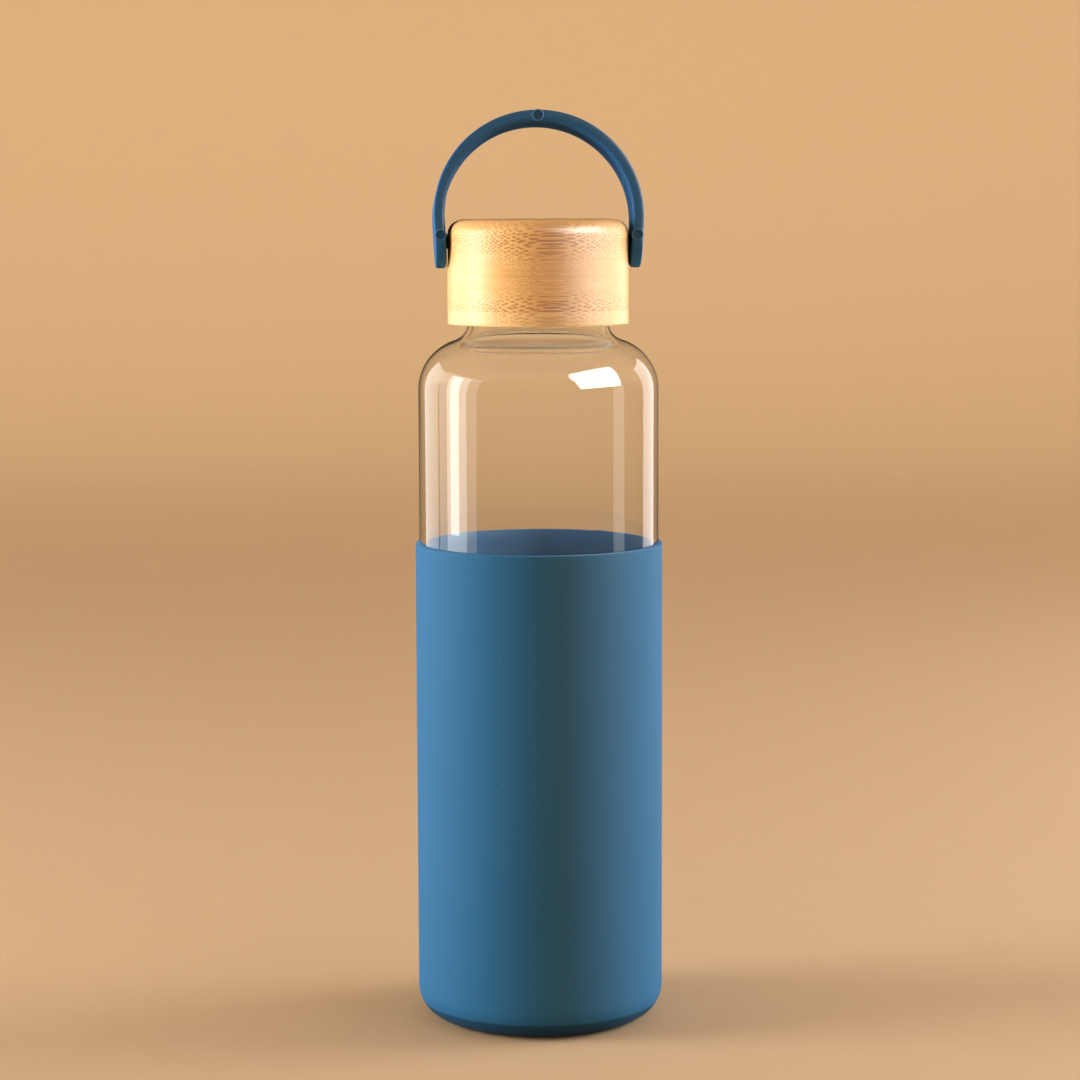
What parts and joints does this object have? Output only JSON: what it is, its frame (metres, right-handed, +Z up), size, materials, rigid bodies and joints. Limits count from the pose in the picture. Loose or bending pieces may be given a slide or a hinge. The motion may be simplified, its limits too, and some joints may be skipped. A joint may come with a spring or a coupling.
{
  "type": "water bottle",
  "caption": "Clear glass water bottle in a blue silicone sleeve, with a bamboo screw lid, a silicone seal and a swinging bail handle on two pins.",
  "frame": {"origin": "centre of the bottle's foot, on the surface that it stands on", "axes": "+Z up along the bottle's axis, X along the handle's pivots, -Y is the front and the handle leans back towards +Y"},
  "size_m": [0.0672, 0.067, 0.2473],
  "materials": {
    "clear_glass": "clear polished borosilicate glass",
    "blue_silicone": "matte moulded silicone",
    "bamboo": "satin varnished laminated bamboo",
    "liner_plastic": "natural white polypropylene",
    "seal_silicone": "translucent white silicone",
    "black_plastic": "black moulded plastic",
    "black_steel": "black oxide steel",
    "blue_plastic": "satin moulded polypropylene"
  },
  "bodies": {
    "bottle": {"glass_body": "clear_glass", "silicone_sleeve": "blue_silicone"},
    "seal": {"seal_gasket": "seal_silicone"},
    "lid": {"bamboo_cap": "bamboo", "screw_liner": "liner_plastic", "pivot_plate_left": "black_plastic", "pivot_plate_right": "black_plastic", "pivot_pin_left": "black_steel", "pivot_pin_right": "black_steel"},
    "handle": {"carry_handle": "blue_plastic"}
  },
  "joints": [
    {"name": "lid_lift", "type": "slide", "parent": "bottle", "child": "seal", "axis": [0, 0, 1], "range_m": [0, 0.0201]},
    {"name": "lid_turn", "type": "hinge", "parent": "seal", "child": "lid", "pos_m": [0, 0, 0.2], "axis": [0, 0, 1], "range_deg": [0, 1800]},
    {"name": "handle_swing", "type": "hinge", "parent": "lid", "child": "handle", "pos_m": [0, 0, 0.21225], "axis": [-1, 0, 0], "range_deg": [-123, 109]}
  ],
  "couplings": [
    {"joint": "lid_lift", "follows": "lid_turn", "m_per_rad": 0.00063662}
  ]
}
